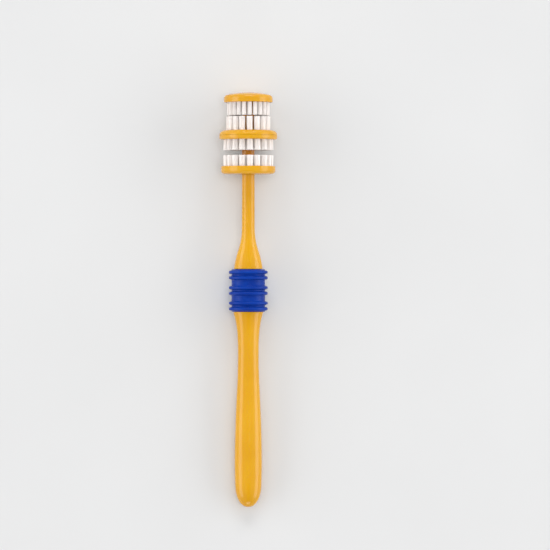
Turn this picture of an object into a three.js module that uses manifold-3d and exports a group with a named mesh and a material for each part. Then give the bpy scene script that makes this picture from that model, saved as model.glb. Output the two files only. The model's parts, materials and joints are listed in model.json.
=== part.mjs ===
// A hand toothbrush for dogs, with a drum-shaped head that brushes all the way round.
//
// One long moulding carries everything: butt, handle, waist, bell, neck and, above the neck, a thin
// double-D pin. A soft ribbed sleeve is moulded over the waist. The head is a stack threaded on the
// pin: a cup, a lower bristle plate, a spacer, a middle disc made of two bristle plates back to back,
// a second spacer, a top bristle plate and a domed cap. Every bristle plate is a perforated tray. The
// tufts of one ring come through its holes, and behind the plate their ends are melted together into
// one flat ring, the mat. The bristles of facing plates point at each other and leave two slots: a
// narrow one for small teeth above the middle disc and a wider one for large teeth below it.
//
// Millimetres. The brush is drawn along +Y, butt end at y = 0, and its front faces +Z. The last
// section lays it down on the plane z = 0 as it rests on a table, on its head and its handle.

import * as THREE from "three";
import { mergeVertices } from "three/addons/utils/BufferGeometryUtils.js";
import Module from "manifold-3d";

const wasm = await Module();
wasm.setup();

// ---------------------------------------------------------------- driving dimensions

const ROUND_SIDES = 32; // sides of a full turn on discs and spacers
const HANDLE_SIDES = 20; // sides of a full turn on the handle and its sleeve
const TUFT_SIDES = 6;
const SEAM = 0.25; // open seam between two visible pieces
const FIT = 0.06; // clearance all round between a piece and the piece that it sits in

// Handle, neck and sleeve, from the butt end upwards.
const BUTT_LENGTH = 11.5; // length of the rounded end
const BUTT_HALF = 6.6; // half width where the rounded end stops
const LOWER_TOP = 98.8; // shoulder under the sleeve
const BELL_BASE = 120.4; // shoulder above the sleeve
const WAIST_HALF = 6.2; // half width of the moulding inside the sleeve
const NECK_RADIUS = 3.2;
const NECK_TOP = 168.1; // shoulder that carries the head
const FLATNESS = 0.86; // depth over width of the handle; the neck is round
const ROUND_FROM = 121; // the section starts to turn round here
const ROUND_AT = 137; // and is fully round here

const SLEEVE_HALF = 8.45; // half width of the sleeve between its ribs
const RIB_HALF = 9.85; // half width over a rib
const RIB_THICK = 1.7;
const RIB_CHAMFER = 0.45;
const RIB_PITCH = 2.85; // from rib to rib within a pair
const PAIR_PITCH = 7.83; // from pair to pair
const RIB_PAIRS = 3;
const FIRST_RIB = 100.3; // height of the lowest rib's middle
const LOCK_RING_HALF = 6.9; // two raised rings on the waist hold the sleeve endways
const LOCK_RING_THICK = 1.6;
const TIE_RADIUS = 2; // the sleeve is tied to itself through a hole in the waist

// Head, from its underside upwards.
const CUP_RADIUS = 13.75;
const CUP_BASE = 168.5; // the cup's flat underside, which hangs on a holder
const CUP_TOP = 172.4;
const CUP_FLOOR = 1.2;
const CUP_WALL = 0.85;
const CUP_CORNER = 2; // rounding of the lower corner
const COLLAR_RADIUS = 3.5; // short collar under the cup, round the neck's end
const MIDDLE_BASE = 185.9;
const MIDDLE_TOP = 190.6;
const MIDDLE_RADIUS = 14.7;
const MIDDLE_CORNER = 1.3; // rounding of the middle disc's lower corner
const LEDGE_RADIUS = 11.9; // the flat top of the middle disc ends here and slopes down to the rim
const MIDDLE_SPLIT = 188.1; // the two halves of the middle disc meet here
const TOP_BASE = 204.7;
const TOP_RADIUS = 12.35;
const CAP_RIM = 207.8; // top of the cap's straight side
const CAP_EDGE = 208.4; // where its dome starts, above a bevel of the same height and width
const CROWN = 209.8; // highest point of the dome
const CAP_WALL = 0.8;
const CAP_CEILING = 207.9; // underside of the cap's roof

const PLATE_THICK = 1.1; // a bristle plate where the tufts go through
const MAT_THICK = 0.5;
const MAT_MARGIN = 0.15; // the mat is this much wider than its tufts on either side
const LOWER_TRAY_WALL = 1.3; // rim of the middle disc's lower half
const UPPER_TRAY_WALL = 2.6; // rim of its upper half, under the slope
const HUB_RADIUS = 3.9; // raised hub round the pin on a middle plate
const SPACER_RADIUS = 3.2;

const PIN_RADIUS = 2.2;
const PIN_FLAT = 1.75; // distance of each flat from the axis
const PIN_TOP = 208.9;
const PIN_ROOT = 2; // how far the pin runs down inside the neck, so that both are one body

// Tips of the tufts. The slots are what is left between them.
const LOWER_TIPS = 177.85;
const MIDDLE_DOWN_TIPS = 180.55;
const MIDDLE_UP_TIPS = 197.5;
const TOP_TIPS = 198.2;

// Rings of tufts: how many, on what radius, the radius of a tuft, and how many degrees the first one
// stands from the front. The middle ring's tufts stand behind the gaps of the outer ring.
const WIDE_SLOT_RINGS = {
  outer: { count: 18, radius: 11.1, tuft: 1.45, turn: 0 },
  middle: { count: 12, radius: 8, tuft: 1.25, turn: 15 },
  inner: { count: 8, radius: 5.25, tuft: 1.05, turn: 0 },
};
const MIDDLE_UP_RINGS = {
  outer: { count: 16, radius: 9.7, tuft: 1.5, turn: 0 },
  inner: { count: 10, radius: 6.2, tuft: 1.3, turn: 0 },
};
const TOP_RINGS = {
  outer: { count: 22, radius: 9.7, tuft: 1.15, turn: 0 },
  inner: { count: 10, radius: 6.2, tuft: 1.25, turn: 0 },
};

// ---------------------------------------------------------------- materials

const plastic = (color, roughness) => new THREE.MeshStandardMaterial({ color, roughness, metalness: 0 });
const amberPlastic = plastic(0xf0a51c, 0.28);
const blueRubber = plastic(0x1c3f9e, 0.5);
const whiteNylon = plastic(0xf4f2ec, 0.45);

// ---------------------------------------------------------------- geometry helpers

/** A closed three.js geometry as a manifold-3d solid. */
function solid(geometry) {
  const bare = geometry.clone();
  bare.deleteAttribute("normal");
  bare.deleteAttribute("uv");
  const merged = mergeVertices(bare, 1e-4);
  return new wasm.Manifold(
    new wasm.Mesh({
      numProp: 3,
      vertProperties: new Float32Array(merged.attributes.position.array),
      triVerts: new Uint32Array(merged.index.array),
    }),
  );
}

/** A manifold-3d solid as a three.js geometry. */
function geometryOf(body) {
  const { numProp, vertProperties, triVerts } = body.getMesh();
  const positions = new Float32Array((vertProperties.length / numProp) * 3);
  for (let i = 0; i * 3 < positions.length; i += 1) {
    positions.set(vertProperties.subarray(i * numProp, i * numProp + 3), i * 3);
  }
  const geometry = new THREE.BufferGeometry();
  geometry.setAttribute("position", new THREE.BufferAttribute(positions, 3));
  geometry.setIndex(new THREE.BufferAttribute(triVerts, 1));
  geometry.computeVertexNormals();
  return geometry;
}

/** A body of revolution round the Y axis, with one of its flats facing -Z and one facing +Z. */
function turned(points, sides = ROUND_SIDES) {
  return new THREE.LatheGeometry(points, sides, Math.PI / sides);
}

const at = (radius, y) => new THREE.Vector2(radius, y);

/** Depth of the handle's section over its width at a height. */
function depthShare(y) {
  return THREE.MathUtils.lerp(FLATNESS, 1, THREE.MathUtils.smoothstep(y, ROUND_FROM, ROUND_AT));
}

/** Flattens a turned geometry front to back, as much as the handle is flattened at each height. */
function flattened(geometry) {
  const position = geometry.attributes.position;
  for (let i = 0; i < position.count; i += 1) {
    position.setZ(i, position.getZ(i) * depthShare(position.getY(i)));
  }
  return geometry;
}

/** A plain round bar along Y. */
function bar(radius, from, to, sides = ROUND_SIDES) {
  return turned([at(0, from), at(radius, from), at(radius, to), at(0, to)], sides);
}

/** A bar along Y whose section is a circle with two flats, which keeps the stack from turning. */
function doubleD(radius, flat, from, to) {
  const half = Math.acos(flat / radius);
  const section = new THREE.Shape();
  section.absarc(0, 0, radius, half, Math.PI - half);
  section.absarc(0, 0, radius, Math.PI + half, 2 * Math.PI - half);
  section.closePath();
  return new THREE.ExtrudeGeometry(section, { depth: to - from, bevelEnabled: false, curveSegments: 6 })
    .rotateX(-Math.PI / 2)
    .translate(0, from, 0);
}

/** The hole for the pin through anything between two heights. */
const pinHole = (from, to) => solid(doubleD(PIN_RADIUS + FIT, PIN_FLAT + FIT, from, to));

/** The posts of one ring of tufts, from a root to the tips, each grown by an allowance. */
function posts(ring, from, to, allowance = 0) {
  const [low, high] = [Math.min(from, to), Math.max(from, to)];
  return Array.from({ length: ring.count }, (_, i) => {
    const turn = THREE.MathUtils.degToRad(ring.turn) + (2 * Math.PI * i) / ring.count;
    const radius = ring.tuft + allowance;
    return solid(
      new THREE.CylinderGeometry(radius, radius, high - low, TUFT_SIDES)
        .rotateY(turn)
        .translate(ring.radius * Math.sin(turn), (low + high) / 2, ring.radius * Math.cos(turn)),
    );
  });
}

/** Cuts the holes of every ring through a plate. */
function perforated(plate, rings, from, to) {
  return Object.values(rings)
    .flatMap((ring) => posts(ring, from, to, FIT))
    .reduce((body, hole) => body.subtract(hole), plate);
}

/** Points of a rounded lower corner, from the flat underside out to the side wall. */
function lowerCorner(radius, base, corner, steps = 4) {
  return new THREE.EllipseCurve(
    radius - corner, base + corner, corner, corner, -Math.PI / 2, 0,
  ).getPoints(steps);
}

// ---------------------------------------------------------------- the moulding that carries everything

const buttOutline = new THREE.EllipseCurve(
  0, BUTT_LENGTH, BUTT_HALF, BUTT_LENGTH, -Math.PI / 2, 0,
).getPoints(6);

const lowerOutline = new THREE.SplineCurve([
  at(BUTT_HALF, BUTT_LENGTH),
  at(6.85, 24),
  at(6.4, 44),
  at(5.5, 64),
  at(5.2, 76),
  at(5.45, 86.5),
  at(6.25, 93.5),
  at(7.6, LOWER_TOP),
]).getPoints(14);

const bellOutline = new THREE.SplineCurve([
  at(7.25, BELL_BASE),
  at(6.85, 123),
  at(5.9, 127.2),
  at(4.6, 131.4),
  at(3.7, 135.2),
  at(NECK_RADIUS, 142),
]).getPoints(9);

/** Outline of the waist inside the sleeve, grown by an allowance, with its two lock rings. */
function waistOutline(allowance = 0) {
  const ring = (middle) => [
    at(WAIST_HALF + allowance, middle - LOCK_RING_THICK / 2 - allowance),
    at(LOCK_RING_HALF + allowance, middle - LOCK_RING_THICK / 4 - allowance),
    at(LOCK_RING_HALF + allowance, middle + LOCK_RING_THICK / 4 + allowance),
    at(WAIST_HALF + allowance, middle + LOCK_RING_THICK / 2 + allowance),
  ];
  const quarter = (BELL_BASE - LOWER_TOP) / 4;
  return [...ring(LOWER_TOP + quarter), ...ring(BELL_BASE - quarter)];
}

const WAIST_MIDDLE = (LOWER_TOP + BELL_BASE) / 2;

/** A round bar from front to back through the middle of the waist. */
function tie(radius, reach) {
  return new THREE.CylinderGeometry(radius, radius, 2 * reach, 12)
    .rotateX(Math.PI / 2)
    .translate(0, WAIST_MIDDLE, 0);
}

function handleCore() {
  const outline = [
    at(0, 0),
    ...buttOutline.slice(1),
    ...lowerOutline.slice(1),
    at(WAIST_HALF, LOWER_TOP),
    ...waistOutline(),
    at(WAIST_HALF, BELL_BASE),
    ...bellOutline,
    at(NECK_RADIUS, NECK_TOP),
    at(0, NECK_TOP),
  ];
  return solid(flattened(turned(outline, HANDLE_SIDES)))
    .add(solid(doubleD(PIN_RADIUS, PIN_FLAT, NECK_TOP - PIN_ROOT, PIN_TOP)))
    .subtract(solid(tie(TIE_RADIUS, LOCK_RING_HALF)));
}

// ---------------------------------------------------------------- soft sleeve

/** Outline of one rib, lower edge first. */
function ribOutline(middle) {
  const half = RIB_THICK / 2;
  return [
    at(SLEEVE_HALF, middle - half),
    at(RIB_HALF, middle - half + RIB_CHAMFER),
    at(RIB_HALF, middle + half - RIB_CHAMFER),
    at(SLEEVE_HALF, middle + half),
  ];
}

function gripSleeve() {
  const [from, to] = [LOWER_TOP + SEAM, BELL_BASE - SEAM];
  const ribs = Array.from({ length: RIB_PAIRS }, (_, i) => FIRST_RIB + i * PAIR_PITCH)
    .flatMap((first) => [...ribOutline(first), ...ribOutline(first + RIB_PITCH)]);
  const outer = [at(0, from), at(SLEEVE_HALF, from), ...ribs, at(SLEEVE_HALF, to), at(0, to)];
  const past = 1; // the bore runs out of both ends
  const bore = [
    at(0, from - past),
    at(WAIST_HALF + FIT, from - past),
    ...waistOutline(FIT),
    at(WAIST_HALF + FIT, to + past),
    at(0, to + past),
  ];
  return solid(flattened(turned(outer, HANDLE_SIDES)))
    .subtract(solid(flattened(turned(bore, HANDLE_SIDES))))
    .add(solid(tie(TIE_RADIUS - FIT, (WAIST_HALF + SLEEVE_HALF) * FLATNESS / 2)));
}

// ---------------------------------------------------------------- head: cup, discs, spacers and cap

function lowerCup() {
  const floor = CUP_BASE + CUP_FLOOR;
  const inside = CUP_RADIUS - CUP_WALL;
  const seat = NECK_TOP + FIT;
  const outline = [
    at(0, seat),
    at(COLLAR_RADIUS, seat),
    at(COLLAR_RADIUS, CUP_BASE),
    ...lowerCorner(CUP_RADIUS, CUP_BASE, CUP_CORNER),
    at(CUP_RADIUS, CUP_TOP),
    at(inside, CUP_TOP),
    at(inside, floor),
    at(0, floor),
  ];
  return solid(turned(outline)).subtract(pinHole(NECK_TOP - 1, floor + 1));
}

/** A flat bristle plate that sits inside a cup or a cap. */
function flatPlate(radius, from, rings) {
  const to = from + PLATE_THICK;
  return perforated(solid(bar(radius, from, to)), rings, from - 1, to + 1)
    .subtract(pinHole(from - 1, to + 1));
}

/** Outside of the middle disc's lower half, from the bristles out to the rim. */
const lowerRim = lowerCorner(MIDDLE_RADIUS, MIDDLE_BASE, MIDDLE_CORNER);

/** Outside of the middle disc's upper half: a ledge that slopes down from the bristles to the rim. */
const upperRim = new THREE.QuadraticBezierCurve(
  at(LEDGE_RADIUS, MIDDLE_TOP),
  at(MIDDLE_RADIUS - 0.3, MIDDLE_TOP - 0.5),
  at(MIDDLE_RADIUS, MIDDLE_SPLIT + 0.3),
).getPoints(5);

/** One half of the middle disc: a perforated tray whose open side faces the other half. */
function middlePlate(face, rim, wall, rings) {
  const inward = Math.sign(MIDDLE_SPLIT - face);
  const inside = face + inward * PLATE_THICK;
  const back = MIDDLE_SPLIT - inward * (FIT / 2);
  const profile = [
    at(0, face),
    ...rim,
    at(MIDDLE_RADIUS, back),
    at(MIDDLE_RADIUS - wall, back),
    at(MIDDLE_RADIUS - wall, inside),
    at(HUB_RADIUS, inside),
    at(HUB_RADIUS, back),
    at(0, back),
  ];
  const outline = inward > 0 ? profile : profile.reverse();
  const [low, high] = [MIDDLE_BASE - 1, MIDDLE_TOP + 1];
  return perforated(solid(turned(outline)), rings, low, high).subtract(pinHole(low, high));
}

/** A short tube on the pin that sets a slot's height. */
function spacer(from, to) {
  return solid(bar(SPACER_RADIUS, from + FIT, to - FIT)).subtract(pinHole(from - 1, to + 1));
}

function topCap() {
  const inside = TOP_RADIUS - CAP_WALL;
  const edge = TOP_RADIUS - (CAP_EDGE - CAP_RIM);
  const dome = new THREE.QuadraticBezierCurve(
    at(edge, CAP_EDGE), at(edge / 2, CROWN), at(0, CROWN),
  ).getPoints(6);
  const outline = [
    at(0, CAP_CEILING),
    at(inside, CAP_CEILING),
    at(inside, TOP_BASE),
    at(TOP_RADIUS, TOP_BASE),
    at(TOP_RADIUS, CAP_RIM),
    ...dome,
  ];
  return solid(turned(outline)).subtract(pinHole(CAP_CEILING - 1, PIN_TOP + FIT));
}

// ---------------------------------------------------------------- bristles

/** One ring of tufts with the mat that joins them behind the plate. */
function bristleRing(ring, matFace, tips) {
  const back = Math.sign(matFace - tips);
  const half = ring.tuft + MAT_MARGIN;
  const [low, high] = [matFace, matFace + back * MAT_THICK].sort((a, b) => a - b);
  const mat = solid(bar(ring.radius + half, low, high, HANDLE_SIDES))
    .subtract(solid(bar(ring.radius - half, low - 1, high + 1, HANDLE_SIDES)));
  return posts(ring, matFace + back * (MAT_THICK / 2), tips)
    .reduce((body, post) => body.add(post), mat);
}

// ---------------------------------------------------------------- the assembly

const LOWER_PLATE_TOP = CUP_TOP - FIT;
const LOWER_PLATE_BASE = LOWER_PLATE_TOP - PLATE_THICK;
const TOP_PLATE_TOP = TOP_BASE + FIT + PLATE_THICK;

const brush = new THREE.Group();

function addPiece(name, body, material) {
  const mesh = new THREE.Mesh(geometryOf(body), material);
  mesh.name = name;
  brush.add(mesh);
}

/** Adds one node for each ring of a bristle plate. */
function addBristles(prefix, rings, matFace, tips) {
  for (const [name, ring] of Object.entries(rings)) {
    addPiece(`${prefix}_bristles_${name}`, bristleRing(ring, matFace, tips), whiteNylon);
  }
}

addPiece("handle_core", handleCore(), amberPlastic);
addPiece("grip_sleeve", gripSleeve(), blueRubber);

addPiece("lower_cup", lowerCup(), amberPlastic);
addPiece(
  "lower_bristle_plate",
  flatPlate(CUP_RADIUS - CUP_WALL - FIT, LOWER_PLATE_BASE, WIDE_SLOT_RINGS),
  amberPlastic,
);
addBristles("lower", WIDE_SLOT_RINGS, LOWER_PLATE_BASE - FIT, LOWER_TIPS);

addPiece("lower_spacer", spacer(LOWER_PLATE_TOP, MIDDLE_BASE), amberPlastic);

addPiece(
  "middle_plate_lower",
  middlePlate(MIDDLE_BASE, lowerRim, LOWER_TRAY_WALL, WIDE_SLOT_RINGS),
  amberPlastic,
);
addBristles("middle_down", WIDE_SLOT_RINGS, MIDDLE_BASE + PLATE_THICK + FIT, MIDDLE_DOWN_TIPS);
addPiece(
  "middle_plate_upper",
  middlePlate(MIDDLE_TOP, upperRim, UPPER_TRAY_WALL, MIDDLE_UP_RINGS),
  amberPlastic,
);
addBristles("middle_up", MIDDLE_UP_RINGS, MIDDLE_TOP - PLATE_THICK - FIT, MIDDLE_UP_TIPS);

addPiece("upper_spacer", spacer(MIDDLE_TOP, TOP_BASE + FIT), amberPlastic);

addPiece(
  "top_bristle_plate",
  flatPlate(TOP_RADIUS - CAP_WALL - FIT, TOP_BASE + FIT, TOP_RINGS),
  amberPlastic,
);
addBristles("top", TOP_RINGS, TOP_PLATE_TOP + FIT, TOP_TIPS);
addPiece("top_cap", topCap(), amberPlastic);

// ---------------------------------------------------------------- laid down on a table

/** The edge of the lower hull of (y, z) points that lies under a height y along the brush. */
function supportingEdge(points, under) {
  const hull = [];
  for (const p of points.sort((a, b) => a.x - b.x || a.y - b.y)) {
    const bulges = () => {
      const [a, b] = hull.slice(-2);
      return (b.x - a.x) * (p.y - a.y) - (b.y - a.y) * (p.x - a.x) <= 0;
    };
    while (hull.length > 1 && bulges()) hull.pop();
    hull.push(p);
  }
  const end = hull.findIndex((p) => p.x > under);
  return [hull[end - 1], hull[end]];
}

/** Tips the brush until its head and its handle both touch the table, and centres it there. */
function layDown(group) {
  const silhouette = group.children.flatMap(({ geometry: { attributes: { position } } }) =>
    Array.from({ length: position.count }, (_, i) => at(position.getY(i), position.getZ(i))),
  );
  const [low, high] = supportingEdge(silhouette, CROWN / 2);
  group.rotation.x = Math.atan2(low.y - high.y, high.x - low.x);
  const box = new THREE.Box3().setFromObject(group, true);
  const centre = box.getCenter(new THREE.Vector3());
  group.position.set(-centre.x, -centre.y, -box.min.z);
  return group;
}

const part = new THREE.Group();
part.add(layDown(brush));

export default part;
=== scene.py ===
import json
import math
import random

import bmesh
import bpy
from mathutils import Matrix, Vector


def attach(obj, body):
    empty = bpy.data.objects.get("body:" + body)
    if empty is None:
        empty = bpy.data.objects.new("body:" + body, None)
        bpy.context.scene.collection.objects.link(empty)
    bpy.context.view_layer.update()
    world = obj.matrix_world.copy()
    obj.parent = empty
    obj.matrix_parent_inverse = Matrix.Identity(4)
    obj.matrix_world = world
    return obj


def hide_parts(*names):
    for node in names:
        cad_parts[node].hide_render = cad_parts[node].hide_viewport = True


# A dog's toothbrush lying on a pale table, seen from above and square to its length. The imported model
# gives the places; every piece is made again here with its fine shape, round edges, holes and filaments.
#
# The pieces are drawn in millimetres in the brush's own axes: x across, y along the brush from the butt
# end, z towards its front. BRUSH_TO_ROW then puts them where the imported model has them.

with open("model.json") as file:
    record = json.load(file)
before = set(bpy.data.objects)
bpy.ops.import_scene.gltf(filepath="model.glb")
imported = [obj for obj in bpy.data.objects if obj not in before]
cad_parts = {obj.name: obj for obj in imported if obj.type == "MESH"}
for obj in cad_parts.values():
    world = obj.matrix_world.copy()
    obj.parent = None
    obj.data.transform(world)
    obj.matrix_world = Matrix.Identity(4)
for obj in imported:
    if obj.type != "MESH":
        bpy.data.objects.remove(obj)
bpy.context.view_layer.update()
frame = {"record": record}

# ---------------------------------------------------------------- driving dimensions, in millimetres

MM = 0.001
FIT = 0.06  # clearance between a piece and the piece it sits in

# How finely round shapes are divided.
DISC_SIDES = 144
HANDLE_SIDES = 120
MAT_SIDES = 96
HOLE_SIDES = 28
ARC_STEPS = 6  # steps in a right-angled fillet
EDGE_SHARE = 0.45  # the most of an edge that a fillet at one of its ends may take
SUPPORT_SHARE = 0.2  # of a fillet's reach, from its ends to the points that keep the flats flat
SHARP_ANGLE = 38  # edges that bend more degrees than this stay crisp
NEAR_ZERO = 1e-4

# Handle, neck and sleeve, from the butt end upwards.
BUTT_LENGTH = 11.5
BUTT_POWER = 2.15  # 2 would make the end a plain ellipse
LOWER_TOP = 98.8  # shoulder under the sleeve
BELL_BASE = 120.4  # shoulder above the sleeve
WAIST_HALF = 6.2
LOCK_RING_HALF = 6.9
LOCK_RING_THICK = 1.6
NECK_RADIUS = 3.2
NECK_TOP = 168.1
FLATNESS = 0.86  # depth over width of the handle; the neck is round
ROUND_FROM = 121.0
ROUND_AT = 137.0
PARTING_RIDGE = 0.05  # the mould's parting line stands this proud on both sides of the handle
PARTING_ANGLE = 0.9  # and is this many degrees wide on each side of its crest
PARTING_START = 1.6  # it starts this far from the axis on the butt end
PARTING_TOP = 167.1  # and ends just below the head
BUTT_SPACING = 0.3  # the least distance from the rounded end to the handle's next point
GATE_RADIUS = 1.1  # the rounded end starts this far from the axis, round the dimple of the mould's gate
# The gate's dimple, in the butt end and on the cap, as (radius, depth, fillet radius) corners.
GATE_DIMPLE = [(0, 0.16, 0), (0.3, 0.16, 0.08), (0.36, 0.3, 0.05), (0.8, 0.3, 0.1)]
PIN_RADIUS = 2.2
PIN_FLAT = 1.75
PIN_TOP = 208.9

SLEEVE_HALF = 8.45
RIB_HALF = 9.85
RIB_THICK = 1.7
RIB_PITCH = 2.85
PAIR_PITCH = 7.83
RIB_PAIRS = 3
FIRST_RIB = 100.3
RIB_FOOT = 0.15  # a rib is this much thicker on each side at its foot
RIB_TAPER = 0.25  # and this much thinner at its top
RIB_ROUND = 0.55
RIB_FOOT_ROUND = 0.3
SLEEVE_GAP = 0.1  # between the sleeve's ends and the shoulders
SLEEVE_END_HALF = 8.35
SLEEVE_END_ROUND = 0.45

# Head, from its underside upwards.
CUP_RADIUS = 13.75
CUP_BASE = 168.5
CUP_TOP = 172.4
CUP_FLOOR = 1.2
CUP_WALL = 0.85
CUP_CORNER = 2.0
COLLAR_RADIUS = 3.5
MIDDLE_BASE = 185.9
MIDDLE_TOP = 190.6
MIDDLE_RADIUS = 14.7
MIDDLE_CORNER = 1.3
MIDDLE_SPLIT = 188.1  # its two halves meet here
LEDGE_RADIUS = 12.2  # the middle disc's flat top ends here and slopes down to the rim
LOWER_TRAY_WALL = 1.3
UPPER_TRAY_WALL = 2.6
HUB_RADIUS = 3.9
TOP_BASE = 204.7
TOP_RADIUS = 12.35
CAP_RIM = 208.2  # the dome starts here, and its edge is rounded
CAP_EDGE_ROUND = 2.6
CROWN = 209.8
DOME_SHARES = [0.65, 0.55, 0.45, 0.35, 0.25, 0.15]  # radii of the dome's points over the cap's radius
CAP_WALL = 0.8
CAP_CEILING = 207.9
SPACER_RADIUS = 3.2

PLATE_THICK = 1.1
MAT_THICK = 0.5
MAT_MARGIN = 0.15
HOLE_CHAMFER = 0.14
HOLE_OVERRUN = 0.3  # the cutter of a hole comes out this far behind the plate

LOWER_TIPS = 177.85
MIDDLE_DOWN_TIPS = 180.55
MIDDLE_UP_TIPS = 197.5
TOP_TIPS = 198.2

# Rings of tufts: how many, on what radius, the radius of a tuft, how many degrees the first one stands
# from the front, and how much wider a tuft is at its tips than at its root.
WIDE_SLOT_RINGS = {
    "outer": {"count": 18, "radius": 11.1, "tuft": 1.45, "turn": 0, "flare": 1.18},
    "middle": {"count": 12, "radius": 8, "tuft": 1.25, "turn": 15, "flare": 1.18},
    "inner": {"count": 8, "radius": 5.25, "tuft": 1.05, "turn": 0, "flare": 1.1},
}
MIDDLE_UP_RINGS = {
    "outer": {"count": 16, "radius": 9.7, "tuft": 1.5, "turn": 0, "flare": 1.08},
    "inner": {"count": 10, "radius": 6.2, "tuft": 1.3, "turn": 0, "flare": 1.06},
}
TOP_RINGS = {
    "outer": {"count": 22, "radius": 9.7, "tuft": 1.15, "turn": 0, "flare": 1.06},
    "inner": {"count": 10, "radius": 6.2, "tuft": 1.25, "turn": 0, "flare": 1.06},
}

FILAMENT_RADIUS = 0.115
FILAMENT_PITCH = 0.262
FILAMENT_SIDES = 6

# How uneven the bristles are: in millimetres, and the flare as a share.
TUFT_LEAN = 0.06
FLARE_VARIATION = 0.03
ROOT_SHIFT = 0.012
TIP_STRAY = 0.03
LENGTH_SPREAD = 0.06
FILAMENT_BEND = 0.012

# ---------------------------------------------------------------- from the brush's axes to the row's

ledge = frame["record"]["mounts"][0]
ALONG = -Vector(ledge["axis"]).normalized()
ACROSS = Vector((1, 0, 0))
FRONT = ACROSS.cross(ALONG)
LEDGE_CENTRE = Vector((0, ledge["pos_m"][1], ledge["pos_m"][2]))
BUTT_END = LEDGE_CENTRE - ALONG * CUP_BASE * MM
BRUSH_AXES = Matrix((ACROSS, ALONG, FRONT)).transposed().to_4x4()
BRUSH_TO_ROW = Matrix.Translation(BUTT_END) @ BRUSH_AXES @ Matrix.Scale(MM, 4)

# ---------------------------------------------------------------- outlines, as (radius, station) points


def smooth_run(points, steps):
    """A Catmull-Rom curve through the points, with `steps` steps between two of them."""
    ends = [points[0] * 2 - points[1], *points, points[-1] * 2 - points[-2]]
    run = []
    for before, start, end, after in zip(ends, ends[1:], ends[2:], ends[3:]):
        for step in range(steps):
            t = step / steps
            run.append(
                start
                + (end - before) * (t / 2)
                + (before * 2 - start * 5 + end * 4 - after) * (t * t / 2)
                + (start * 3 - end * 3 + after - before) * (t ** 3 / 2)
            )
    return [*run, points[-1]]


def fillet(before, corner, after, radius):
    """The arc that rounds a corner, with a point close by on each side that keeps the flats flat."""
    to_before = before - corner
    to_after = after - corner
    half = to_before.angle(to_after) / 2
    reach = min(radius / math.tan(half), EDGE_SHARE * to_before.length, EDGE_SHARE * to_after.length)
    bisector = (to_before.normalized() + to_after.normalized()).normalized()
    centre = corner + bisector * (reach / math.cos(half))
    start = corner + to_before.normalized() * reach - centre
    turn = start.angle_signed(corner + to_after.normalized() * reach - centre)
    steps = max(2, round(abs(turn) / (math.pi / 2) * ARC_STEPS))
    arc = [centre + Matrix.Rotation(-turn * i / steps, 2) @ start for i in range(steps + 1)]
    support = SUPPORT_SHARE * reach
    return [
        arc[0] + to_before.normalized() * support,
        *arc,
        arc[-1] + to_after.normalized() * support,
    ]


def rounded(corners, closed=False):
    """An outline from (radius, station, fillet radius) corners. An open one keeps its end points."""
    points = [Vector(corner[:2]) for corner in corners]
    outline = []
    for i, (_, _, radius) in enumerate(corners):
        if radius and (closed or 0 < i < len(corners) - 1):
            outline += fillet(points[i - 1], points[i], points[(i + 1) % len(points)], radius)
        else:
            outline.append(points[i])
    return outline


# ---------------------------------------------------------------- meshes


def even_angles(sides):
    """Angles of points spread evenly round a circle."""
    return [2 * math.pi * i / sides for i in range(sides)]


def revolve(outline, angles, shape=None, closed=False):
    """Vertices and faces of an outline turned round the brush's axis. `shape` may move each point."""
    shape = shape or (lambda point: point)
    vertices = []
    rings = []
    for radius, station in outline:
        turns = angles if radius > NEAR_ZERO else [0]
        rings.append([len(vertices) + i for i in range(len(turns))])
        vertices += [
            shape(Vector((radius * math.sin(turn), station, radius * math.cos(turn))))
            for turn in turns
        ]
    faces = []
    pairs = list(zip(rings, rings[1:]))
    if closed:
        pairs.append((rings[-1], rings[0]))
    for low, high in pairs:
        for i in range(len(angles)):
            j = (i + 1) % len(angles)
            corners = [low[i % len(low)], low[j % len(low)], high[j % len(high)], high[i % len(high)]]
            face = list(dict.fromkeys(corners))
            if len(face) > 2:
                faces.append(face)
    return vertices, faces


def to_mesh(*bodies):
    """One mesh from any number of closed (vertices, faces) bodies, with their faces turned outwards."""
    mesh = bpy.data.meshes.new("body")
    vertices = []
    faces = []
    for body_vertices, body_faces in bodies:
        start = len(vertices)
        vertices += body_vertices
        faces += [[start + i for i in face] for face in body_faces]
    mesh.from_pydata(vertices, [], faces)
    work = bmesh.new()
    work.from_mesh(mesh)
    bmesh.ops.recalc_face_normals(work, faces=work.faces)
    work.to_mesh(mesh)
    work.free()
    return mesh


def weld(mesh):
    """Joins vertices that coincide, so that no face is left without an area."""
    work = bmesh.new()
    work.from_mesh(mesh)
    bmesh.ops.remove_doubles(work, verts=work.verts, dist=NEAR_ZERO)
    bmesh.ops.dissolve_degenerate(work, dist=NEAR_ZERO, edges=work.edges)
    work.to_mesh(mesh)
    work.free()


def cut_away(body, cutters):
    """The body's mesh without what the cutters' mesh takes up."""
    target, tool = (bpy.data.objects.new("work", mesh) for mesh in (body, cutters))
    for item in (target, tool):
        bpy.context.scene.collection.objects.link(item)
    modifier = target.modifiers.new("cut", "BOOLEAN")
    modifier.operation = "DIFFERENCE"
    modifier.solver = "EXACT"
    modifier.object = tool
    evaluated = target.evaluated_get(bpy.context.evaluated_depsgraph_get())
    result = bpy.data.meshes.new_from_object(evaluated)
    for item in (target, tool):
        bpy.data.objects.remove(item)
    weld(result)
    return result


def add_piece(node, mesh, material):
    """Puts a mesh in place of the CAD node with that name."""
    mesh.transform(BRUSH_TO_ROW)
    mesh.shade_smooth()
    mesh.set_sharp_from_angle(angle=math.radians(SHARP_ANGLE))
    mesh.materials.clear()
    mesh.materials.append(material)
    piece = bpy.data.objects.new(f"fine_{node}", mesh)
    bpy.context.scene.collection.objects.link(piece)
    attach(piece, "root")
    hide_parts(node)
    return piece


# ---------------------------------------------------------------- materials


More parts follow.
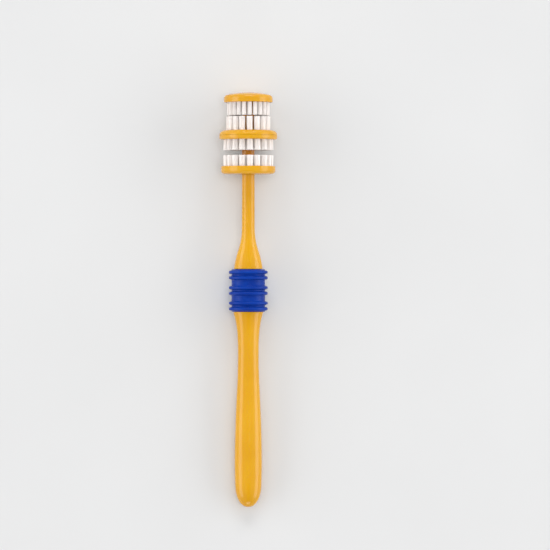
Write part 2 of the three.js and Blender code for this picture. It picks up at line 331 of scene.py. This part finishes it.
def start_material(name, settings):
    """A new material and its shader, with the values of some of the shader's sockets."""
    material = bpy.data.materials.new(name)
    material.use_nodes = True
    shader = material.node_tree.nodes["Principled BSDF"]
    for socket, value in settings.items():
        shader.inputs[socket].default_value = value
    return material, shader


def link_inputs(owner, node, links):
    """Links outputs to a node's inputs. The owner is the material or the world that the node is in."""
    for socket, output in links.items():
        owner.node_tree.links.new(output, node.inputs[socket])


def add_node(owner, kind, links=None, **settings):
    """Adds a shader node. `links` maps its inputs to outputs, `settings` sets the other inputs."""
    node = owner.node_tree.nodes.new(kind)
    for socket, value in settings.items():
        node.inputs[socket.replace("_", " ")].default_value = value
    link_inputs(owner, node, links or {})
    return node


def noise(material, place, scale, detail=3.0, roughness=0.5):
    """A noise value, with `scale` features in a metre."""
    node = add_node(
        material, "ShaderNodeTexNoise", {"Vector": place}, Scale=scale, Detail=detail, Roughness=roughness
    )
    return node.outputs["Fac"]


def object_place(material, stretch=(1, 1, 1)):
    """Coordinates fixed to the object, in metres, squeezed along each axis by `stretch`."""
    coordinates = add_node(material, "ShaderNodeTexCoord").outputs["Object"]
    mapping = add_node(material, "ShaderNodeMapping", {"Vector": coordinates}, Scale=stretch)
    return mapping.outputs["Vector"]


def ramp(owner, factor, low, high, start=0.3, end=0.7):
    """A colour between two others."""
    node = add_node(owner, "ShaderNodeValToRGB", {"Fac": factor})
    node.color_ramp.elements[0].position = start
    node.color_ramp.elements[1].position = end
    node.color_ramp.elements[0].color = (*low, 1)
    node.color_ramp.elements[1].color = (*high, 1)
    return node.outputs["Color"]


def spread(owner, value, low, high, start=0.3, end=0.7):
    """A value moved from one range into another."""
    node = add_node(
        owner,
        "ShaderNodeMapRange",
        {"Value": value},
        From_Min=start,
        From_Max=end,
        To_Min=low,
        To_Max=high,
    )
    return node.outputs["Result"]


def bump(material, height, depth, strength=1.0, under=None):
    """A bump of a depth in metres, laid over another one."""
    links = {"Height": height}
    if under:
        links["Normal"] = under
    node = add_node(material, "ShaderNodeBump", links, Strength=strength, Distance=depth)
    return node.outputs["Normal"]


def finish_material(material, shader, links):
    """Links the shader's inputs, and gives the finished material."""
    link_inputs(material, shader, links)
    return material


def make_amber_plastic(name, low, high):
    """Glossy moulded plastic: the melt's slow colour drift, a faint swell and fine rubbing marks."""
    material, shader = start_material(
        name,
        {
            "IOR": 1.49,
            "Subsurface Weight": 0.12,
            "Subsurface Radius": (1.0, 0.45, 0.1),
            "Subsurface Scale": 0.0018,
        },
    )
    place = object_place(material)
    drift = noise(material, place, 55, detail=2)
    rubbed = noise(material, object_place(material, (1, 0.05, 1)), 2600, detail=4, roughness=0.6)
    swell = noise(material, place, 130, detail=1)
    grain = noise(material, place, 4200, detail=3)
    normal = bump(material, swell, 0.00012, 0.35)
    normal = bump(material, grain, 0.000012, 0.35, under=normal)
    return finish_material(
        material,
        shader,
        {
            "Base Color": ramp(material, drift, low, high),
            "Roughness": spread(material, rubbed, 0.14, 0.23),
            "Normal": normal,
        },
    )


def make_blue_rubber():
    """Satin overmoulded elastomer with the fine etched grain of its mould."""
    material, shader = start_material("blue_rubber", {"IOR": 1.45, "Specular IOR Level": 0.2})
    place = object_place(material)
    drift = noise(material, place, 140, detail=3)
    worn = noise(material, place, 700, detail=4, roughness=0.6)
    grain = noise(material, place, 5200, detail=2)
    pores = noise(material, place, 2400, detail=1)
    normal = bump(material, pores, 0.00002, 0.4)
    normal = bump(material, grain, 0.000016, 0.6, under=normal)
    return finish_material(
        material,
        shader,
        {
            "Base Color": ramp(material, drift, (0.0003, 0.026, 0.25), (0.0008, 0.042, 0.33)),
            "Roughness": spread(material, worn, 0.3, 0.42),
            "Normal": normal,
        },
    )


def make_white_nylon():
    """Milky nylon filaments, no two quite the same shade."""
    material, shader = start_material("white_nylon", {"IOR": 1.53})
    strand = add_node(material, "ShaderNodeNewGeometry").outputs["Random Per Island"]
    place = object_place(material, (1, 0.1, 1))
    streaks = noise(material, place, 9000, detail=2)
    return finish_material(
        material,
        shader,
        {
            "Base Color": ramp(material, strand, (0.91, 0.85, 0.81), (0.98, 0.93, 0.9), 0, 1),
            "Roughness": spread(material, streaks, 0.3, 0.42),
            "Normal": bump(material, streaks, 0.000006, 0.4),
        },
    )


def make_table_top():
    """A pale matt surface."""
    material, shader = start_material("pale_table", {"Specular IOR Level": 0.0})
    place = object_place(material)
    cloud = noise(material, place, 9, detail=4)
    grain = noise(material, place, 900, detail=2)
    return finish_material(
        material,
        shader,
        {
            "Base Color": ramp(material, cloud, (0.655, 0.655, 0.65), (0.675, 0.675, 0.67)),
            "Roughness": spread(material, grain, 0.78, 0.86),
            "Normal": bump(material, grain, 0.00002, 0.3),
        },
    )


amber_plastic = make_amber_plastic("amber_plastic", (0.65, 0.308, 0.002), (0.7, 0.352, 0.005))
# The spacers' plastic is a darker, redder amber: painted shade and bounced amber light for the shadowed
# gaps between the discs.
amber_with_painted_shade = make_amber_plastic("amber_with_painted_shade", (0.68, 0.24, 0.002), (0.73, 0.27, 0.003))
blue_rubber = make_blue_rubber()
white_nylon = make_white_nylon()

# ---------------------------------------------------------------- handle, waist, bell, neck and pin

# Half widths and stations. The handle's first point lies past its end and only steers the curve.
HANDLE_CURVE = smooth_run(
    [
        Vector((6.4, -2)),
        Vector((6.6, 10)),
        Vector((6.85, 24)),
        Vector((6.4, 44)),
        Vector((5.5, 64)),
        Vector((5.2, 76)),
        Vector((5.45, 86.5)),
        Vector((6.25, 93.5)),
        Vector((7.6, LOWER_TOP)),
    ],
    steps=10,
)
BELL_CURVE = smooth_run(
    [
        Vector((7.25, BELL_BASE)),
        Vector((6.85, 123)),
        Vector((5.9, 127.2)),
        Vector((4.6, 131.4)),
        Vector((3.7, 135.2)),
        Vector((3.28, 139.5)),
        Vector((NECK_RADIUS, 145)),
    ],
    steps=8,
)


def depth_share(station):
    """Depth of the handle's section over its width."""
    t = min(max((station - ROUND_FROM) / (ROUND_AT - ROUND_FROM), 0), 1)
    return FLATNESS + (1 - FLATNESS) * t * t * (3 - 2 * t)


def handle_half_width(station):
    """Half width of the lower handle at a station, before its end is rounded."""
    above = next(i for i, point in enumerate(HANDLE_CURVE) if point.y > station)
    low, high = HANDLE_CURVE[above - 1], HANDLE_CURVE[above]
    return low.x + (high.x - low.x) * (station - low.y) / (high.y - low.y)


def butt_outline(steps=18):
    """The rounded end, from the gate's dimple on the axis out to the handle's side."""
    points = []
    for i in range(1, steps + 1):
        station = BUTT_LENGTH * (1 - math.cos(math.pi / 2 * i / steps))
        share = (1 - (1 - station / BUTT_LENGTH) ** BUTT_POWER) ** (1 / BUTT_POWER)
        points.append(Vector((handle_half_width(station) * share, station)))
    side = [point for point in points if point.x > GATE_RADIUS]
    return [*rounded([*GATE_DIMPLE, (*side[0], 0)])[:-1], *side]


def handle_section(point):
    """Flattens the handle front to back, raises its parting line, and cuts the pin's two flats."""
    x, station, z = point
    if station > BELL_BASE and math.hypot(x, z) < PIN_RADIUS + NEAR_ZERO:
        return Vector((min(max(x, -PIN_FLAT), PIN_FLAT), station, z))
    at_side = abs(z) < NEAR_ZERO
    ridge = 0
    if at_side and abs(x) > PARTING_START and station < PARTING_TOP:
        ridge = math.copysign(PARTING_RIDGE, x)
    return Vector((x + ridge, station, z * depth_share(station)))


def handle_angles():
    """Angles round the handle, with two close ones beside each parting line."""
    close = math.radians(PARTING_ANGLE)
    left, right = math.pi / 2, 3 * math.pi / 2
    beside = [left - close, left + close, right - close, right + close]
    return sorted([*even_angles(HANDLE_SIDES), *beside])


def lock_rings(allowance=0.0):
    """Corners of the two raised rings on the waist, from the lower one upwards."""
    quarter = (BELL_BASE - LOWER_TOP) / 4
    half = LOCK_RING_THICK / 2 + allowance
    corners = []
    for middle in (LOWER_TOP + quarter, BELL_BASE - quarter):
        corners += [
            (WAIST_HALF + allowance, middle - half, 0.2),
            (LOCK_RING_HALF + allowance, middle - half / 2, 0.2),
            (LOCK_RING_HALF + allowance, middle + half / 2, 0.2),
            (WAIST_HALF + allowance, middle + half, 0.2),
        ]
    return corners


def add_handle():
    """Butt, handle, waist, bell, neck and pin in one body."""
    lower = [point for point in HANDLE_CURVE if point.y > BUTT_LENGTH + BUTT_SPACING]
    waist = rounded(
        [
            (*lower[-2], 0),
            (*lower[-1], 0.5),
            (WAIST_HALF, LOWER_TOP, 0.15),
            *lock_rings(),
            (WAIST_HALF, BELL_BASE, 0.15),
            (*BELL_CURVE[0], 0.4),
            (*BELL_CURVE[2], 0),
        ]
    )
    top = rounded(
        [
            (*BELL_CURVE[-1], 0),
            (NECK_RADIUS, NECK_TOP, 0.1),
            (PIN_RADIUS, NECK_TOP, 0),
            (PIN_RADIUS, PIN_TOP, PIN_RADIUS - PIN_FLAT),
            (0, PIN_TOP, 0),
        ]
    )
    outline = [*butt_outline(), *lower[:-2], *waist, *BELL_CURVE[3:-1], *top]
    body = revolve(outline, handle_angles(), handle_section)
    add_piece("handle_core", to_mesh(body), amber_plastic)


# ---------------------------------------------------------------- soft sleeve


def flattened(point):
    """Moves a point of a round shape onto the handle's flatter section."""
    return Vector((point.x, point.y, point.z * depth_share(point.y)))


def add_sleeve():
    """The overmoulded sleeve: three pairs of ribs outside, and the waist's two lock rings inside."""
    low, high = LOWER_TOP + SLEEVE_GAP, BELL_BASE - SLEEVE_GAP
    foot = RIB_THICK / 2 + RIB_FOOT
    crest = RIB_THICK / 2 - RIB_TAPER
    ribs = []
    for pair in range(RIB_PAIRS):
        for rib in range(2):
            middle = FIRST_RIB + pair * PAIR_PITCH + rib * RIB_PITCH
            ribs += [
                (SLEEVE_HALF, middle - foot, RIB_FOOT_ROUND),
                (RIB_HALF, middle - crest, RIB_ROUND),
                (RIB_HALF, middle + crest, RIB_ROUND),
                (SLEEVE_HALF, middle + foot, RIB_FOOT_ROUND),
            ]
    outline = rounded(
        [
            (WAIST_HALF + FIT, low, 0.1),
            (SLEEVE_END_HALF, low, SLEEVE_END_ROUND),
            *ribs,
            (SLEEVE_END_HALF, high, SLEEVE_END_ROUND),
            (WAIST_HALF + FIT, high, 0.1),
            *reversed(lock_rings(FIT)),
        ],
        closed=True,
    )
    body = revolve(outline, even_angles(HANDLE_SIDES), flattened, closed=True)
    add_piece("grip_sleeve", to_mesh(body), blue_rubber)


# ---------------------------------------------------------------- discs of the head


def ring_places(ring):
    """(x, z) of each tuft of a ring."""
    turns = [math.radians(ring["turn"]) + angle for angle in even_angles(ring["count"])]
    return [(ring["radius"] * math.sin(turn), ring["radius"] * math.cos(turn)) for turn in turns]


def tuft_holes(rings, face, inward):
    """One mesh of all the cutters that drill a plate, each wider at the face by a chamfer."""
    cutters = []
    for ring in rings.values():
        radius = ring["tuft"] + FIT
        mouth = radius + 2 * HOLE_CHAMFER
        end = face + inward * (PLATE_THICK + HOLE_OVERRUN)
        outline = rounded(
            [
                (0, face - inward, 0),
                (mouth, face - inward, 0),
                (mouth, face - inward * HOLE_CHAMFER, 0),
                (radius, face + inward * HOLE_CHAMFER, 0),
                (radius, end, 0),
                (0, end, 0),
            ]
        )
        for x, z in ring_places(ring):
            offset = Vector((x, 0, z))
            cutter = revolve(outline, even_angles(HOLE_SIDES), lambda point, by=offset: point + by)
            cutters.append(cutter)
    return to_mesh(*cutters)


def add_disc(node, corners, rings=None, face=0.0, inward=1, material=amber_plastic):
    """A round piece of the head, drilled for its tufts if it has rings of them."""
    outline = rounded(corners, closed=True)
    mesh = to_mesh(revolve(outline, even_angles(DISC_SIDES), closed=True))
    if rings:
        mesh = cut_away(mesh, tuft_holes(rings, face, inward))
    add_piece(node, mesh, material)


def add_lower_cup():
    """The head's bottom disc, a shallow cup with a recess for the neck's end."""
    inside = CUP_RADIUS - CUP_WALL
    floor = CUP_BASE + CUP_FLOOR
    bore = PIN_RADIUS + FIT
    seat = NECK_TOP + FIT
    add_disc(
        "lower_cup",
        [
            (bore, seat, 0.05),
            (COLLAR_RADIUS, seat, 0.12),
            (COLLAR_RADIUS, CUP_BASE, 0.15),
            (CUP_RADIUS, CUP_BASE, CUP_CORNER),
            (CUP_RADIUS, CUP_TOP, 0.16),
            (inside, CUP_TOP, 0.1),
            (inside, floor, 0.3),
            (bore, floor, 0.1),
        ],
    )


def add_flat_plate(node, radius, face, inward, rings):
    """A bristle plate that sits in the cup or the cap. `inward` is the way from its face to its back."""
    back = face + inward * PLATE_THICK
    bore = PIN_RADIUS + FIT
    corners = [(bore, face, 0.06), (radius, face, 0.1), (radius, back, 0.1), (bore, back, 0.06)]
    add_disc(node, corners, rings, face, inward)


def add_middle_plate(node, face, rim, wall, rings):
    """One half of the middle disc. `rim` holds its outer corners, from its face to the other half."""
    inward = math.copysign(1, MIDDLE_SPLIT - face)
    inside = face + inward * PLATE_THICK
    back = MIDDLE_SPLIT - inward * FIT / 2
    bore = PIN_RADIUS + FIT
    corners = [
        (bore, face, 0.06),
        *rim,
        (MIDDLE_RADIUS, back, 0.09),
        (MIDDLE_RADIUS - wall, back, 0.1),
        (MIDDLE_RADIUS - wall, inside, 0.2),
        (HUB_RADIUS, inside, 0.1),
        (HUB_RADIUS, back, 0.1),
        (bore, back, 0.1),
    ]
    add_disc(node, corners, rings, face, inward)


# The middle disc's upper half slopes down to its rim.
SHOULDER_CURVE = smooth_run(
    [
        Vector((13.4, 190.22)),
        Vector((14.25, 189.42)),
        Vector((MIDDLE_RADIUS, 188.35)),
    ],
    steps=6,
)
UPPER_RIM = [(LEDGE_RADIUS, MIDDLE_TOP, 0.7), *((*point, 0) for point in SHOULDER_CURVE)]
LOWER_RIM = [(MIDDLE_RADIUS, MIDDLE_BASE, MIDDLE_CORNER)]


def add_spacer(node, low, high):
    """A short tube on the pin, which keeps two discs apart."""
    bore = PIN_RADIUS + FIT
    corners = [
        (bore, low + FIT, 0.1),
        (SPACER_RADIUS, low + FIT, 0.15),
        (SPACER_RADIUS, high - FIT, 0.15),
        (bore, high - FIT, 0.1),
    ]
    # Painted shade: the spacer's amber is darker and redder than the rest, for the shadow in the gaps
    # between the discs.
    add_disc(node, corners, material=amber_with_painted_shade)


def add_top_cap():
    """The domed cap, with a blind hole for the pin."""
    inside = TOP_RADIUS - CAP_WALL
    bore = PIN_RADIUS + FIT
    blind = PIN_TOP + FIT
    dome = [(TOP_RADIUS * share, CROWN - (CROWN - CAP_RIM) * share * share, 0) for share in DOME_SHARES]
    outline = rounded(
        [
            (0, blind, 0),
            (bore, blind, 0.1),
            (bore, CAP_CEILING, 0.1),
            (inside, CAP_CEILING, 0.8),
            (inside, TOP_BASE, 0.1),
            (TOP_RADIUS, TOP_BASE, 1.0),
            (TOP_RADIUS, CAP_RIM, CAP_EDGE_ROUND),
            *dome,
            *((radius, CROWN - depth, size) for radius, depth, size in reversed(GATE_DIMPLE)),
        ]
    )
    body = revolve(outline, even_angles(DISC_SIDES))
    add_piece("top_cap", to_mesh(body), amber_plastic)


# ---------------------------------------------------------------- bristles


def bundle(radius):
    """Places of the filaments in one tuft, packed like a honeycomb inside a radius."""
    reach = radius - FILAMENT_RADIUS
    rows = math.ceil(reach / FILAMENT_PITCH) + 1
    places = []
    for row in range(-rows, rows + 1):
        for column in range(-rows, rows + 1):
            across = (column + row / 2) * FILAMENT_PITCH
            place = Vector((across, row * FILAMENT_PITCH * math.sqrt(3) / 2))
            if place.length <= reach:
                places.append(place)
    return places


def filament(root, tip, bend):
    """Vertices and faces of one bristle with a rounded tip. Its middle is pushed aside by `bend`."""
    length = abs(tip.y - root.y)
    rounding = [(0.9, 1.0), (0.35, 0.78), (0.08, 0.38)]  # (distance from the tip, width) over the radius
    levels = [(0.0, 1.0), (0.55, 1.0)]
    levels += [(1 - distance * FILAMENT_RADIUS / length, width) for distance, width in rounding]
    vertices = []
    for share, width in levels:
        centre = root.lerp(tip, share) + bend * (4 * share * (1 - share))
        for turn in even_angles(FILAMENT_SIDES):
            offset = Vector((math.sin(turn), 0, math.cos(turn))) * FILAMENT_RADIUS * width
            vertices.append(centre + offset)
    vertices.append(tip)
    sides = FILAMENT_SIDES
    faces = [list(range(sides))]
    for level in range(len(levels) - 1):
        for i in range(sides):
            j = (i + 1) % sides
            low, high = level * sides, (level + 1) * sides
            faces.append([low + i, low + j, high + j, high + i])
    last = (len(levels) - 1) * sides
    faces += [[last + i, last + (i + 1) % sides, last + sides] for i in range(sides)]
    return vertices, faces


def scatter(random_source, size):
    """A random step across the brush's axis."""
    return Vector((random_source.gauss(0, size), 0, random_source.gauss(0, size)))


def tuft(random_source, place, ring, root, tips):
    """The filaments of one tuft: packed tight in their hole, a little looser and uneven at the tips."""
    x, z = place
    lean = scatter(random_source, TUFT_LEAN)
    opened = ring["flare"] + random_source.uniform(-FLARE_VARIATION, FLARE_VARIATION)
    strands = []
    for spot in bundle(ring["tuft"]):
        shift = Vector((random_source.uniform(-1, 1), 0, random_source.uniform(-1, 1))) * ROOT_SHIFT
        start = Vector((x + spot.x, root, z + spot.y)) + shift
        stray = scatter(random_source, TIP_STRAY)
        end = Vector((x + spot.x * opened, tips, z + spot.y * opened)) + lean + stray
        end.y += random_source.gauss(0, LENGTH_SPREAD)
        strands.append(filament(start, end, scatter(random_source, FILAMENT_BEND)))
    return strands


def add_bristles(prefix, rings, face, inward, tips):
    """One piece for each ring of a plate: its tufts, and the melted mat that joins them behind it."""
    mat_face = face + inward * (PLATE_THICK + FIT)
    mat_back = mat_face + inward * MAT_THICK
    for number, (name, ring) in enumerate(rings.items()):
        random_source = random.Random(f"{prefix} {number}")
        half = ring["tuft"] + MAT_MARGIN
        corners = [
            (ring["radius"] - half, mat_face, 0.12),
            (ring["radius"] + half, mat_face, 0.12),
            (ring["radius"] + half, mat_back, 0.18),
            (ring["radius"] - half, mat_back, 0.18),
        ]
        mat = revolve(rounded(corners, closed=True), even_angles(MAT_SIDES), closed=True)
        root = mat_face + inward * MAT_THICK / 2
        strands = [
            strand
            for place in ring_places(ring)
            for strand in tuft(random_source, place, ring, root, tips)
        ]
        add_piece(f"{prefix}_bristles_{name}", to_mesh(mat, *strands), white_nylon)


# ---------------------------------------------------------------- the object

LOWER_PLATE_TOP = CUP_TOP - FIT
TOP_PLATE_FACE = TOP_BASE + FIT

add_handle()
add_sleeve()
add_lower_cup()
add_flat_plate("lower_bristle_plate", CUP_RADIUS - CUP_WALL - FIT, LOWER_PLATE_TOP, -1, WIDE_SLOT_RINGS)
add_bristles("lower", WIDE_SLOT_RINGS, LOWER_PLATE_TOP, -1, LOWER_TIPS)
add_spacer("lower_spacer", LOWER_PLATE_TOP, MIDDLE_BASE)
add_middle_plate("middle_plate_lower", MIDDLE_BASE, LOWER_RIM, LOWER_TRAY_WALL, WIDE_SLOT_RINGS)
add_bristles("middle_down", WIDE_SLOT_RINGS, MIDDLE_BASE, 1, MIDDLE_DOWN_TIPS)
add_middle_plate("middle_plate_upper", MIDDLE_TOP, UPPER_RIM, UPPER_TRAY_WALL, MIDDLE_UP_RINGS)
add_bristles("middle_up", MIDDLE_UP_RINGS, MIDDLE_TOP, -1, MIDDLE_UP_TIPS)
add_spacer("upper_spacer", MIDDLE_TOP, TOP_PLATE_FACE)
add_flat_plate("top_bristle_plate", TOP_RADIUS - CAP_WALL - FIT, TOP_PLATE_FACE, 1, TOP_RINGS)
add_bristles("top", TOP_RINGS, TOP_PLATE_FACE, 1, TOP_TIPS)
add_top_cap()

# ---------------------------------------------------------------- table, light and camera, in metres


def add_table(size=5.6):
    """The surface the brush lies on. It ends just inside the lamps."""
    mesh = bpy.data.meshes.new("table_top")
    half = size / 2
    corners = [(-half, -half, 0), (half, -half, 0), (half, half, 0), (-half, half, 0)]
    mesh.from_pydata(corners, [], [(0, 1, 2, 3)])
    mesh.materials.append(make_table_top())
    table = bpy.data.objects.new("table_top", mesh)
    bpy.context.scene.collection.objects.link(table)


def add_softbox(name, place, size, power, mirrored=True):
    """A large flat lamp that faces the brush and isn't seen itself. Gloss may mirror it or not."""
    lamp = bpy.data.lights.new(name, "AREA")
    lamp.shape = "RECTANGLE"
    lamp.size, lamp.size_y = size
    lamp.energy = power
    softbox = bpy.data.objects.new(name, lamp)
    softbox.location = place
    softbox.rotation_euler = (-Vector(place)).to_track_quat("-Z", "Y").to_euler()
    softbox.visible_camera = False
    softbox.visible_glossy = mirrored
    bpy.context.scene.collection.objects.link(softbox)


def add_sky(bright, dim, band=(0.08, 0.4), band_foot=0.4, haze=1.45, haze_top=0.16):
    """A room that is palest at the horizon, with a dim band overhead, along the brush.

    The band brightens from one x of a direction to the other, and it fades out below the z
    `band_foot`. The haze fades out at the z `haze_top`.
    """
    world = bpy.data.worlds.new("studio")
    world.use_nodes = True
    direction = add_node(world, "ShaderNodeTexCoord").outputs["Generated"]
    parts = add_node(world, "ShaderNodeSeparateXYZ", {"Vector": direction}).outputs
    aside = add_node(world, "ShaderNodeMath", {0: parts["X"]})
    aside.operation = "ABSOLUTE"
    near_horizon = add_node(world, "ShaderNodeMath", {1: parts["Z"]})
    near_horizon.inputs[0].default_value = band_foot
    near_horizon.operation = "SUBTRACT"
    near_horizon.use_clamp = True
    from_band = add_node(
        world, "ShaderNodeMath", {0: aside.outputs["Value"], 1: near_horizon.outputs["Value"]}
    )
    links = {
        "Color": ramp(world, from_band.outputs["Value"], dim, bright, *band),
        "Strength": spread(world, parts["Z"], haze, 1.0, 0, haze_top),
    }
    link_inputs(world, world.node_tree.nodes["Background"], links)
    bpy.context.scene.world = world


def add_camera(distance=2.1, view_width=0.2783, across=13.5, station=117.4, turn=-4.4):
    """Looks at the brush from far off, square to its length and turned a little round it."""
    camera = bpy.data.objects.new("camera", bpy.data.cameras.new("camera"))
    round_brush = Matrix.Rotation(math.radians(turn), 4, ALONG)
    middle = BRUSH_TO_ROW @ Vector((0, station, 0))
    view = Matrix.Translation(middle) @ round_brush @ BRUSH_AXES
    camera.matrix_world = view @ Matrix.Translation((across * MM, 0, distance))
    camera.data.sensor_width = 36
    camera.data.lens = camera.data.sensor_width * distance / view_width
    camera.data.clip_start = 0.1
    camera.data.clip_end = 20
    bpy.context.scene.collection.objects.link(camera)
    bpy.context.scene.camera = camera


add_table()
add_softbox("left_softbox", (-3.2, 0, 1.2), (4.8, 2.0), 64)
add_softbox("right_softbox", (3.2, 0, 1.2), (4.8, 2.0), 64)
add_softbox("head_softbox", (0, 2.8, 1.9), (2.4, 1.0), 45)
add_softbox("butt_softbox", (0, -3.2, 0.8), (1.6, 1.2), 14.4)
add_softbox("overhead_fill", (0, 0, 6.0), (2.4, 2.4), 106, mirrored=False)
add_sky((0.58, 0.585, 0.6), (0.16, 0.16, 0.17))
add_camera()
bpy.context.scene.view_settings.view_transform = "Standard"
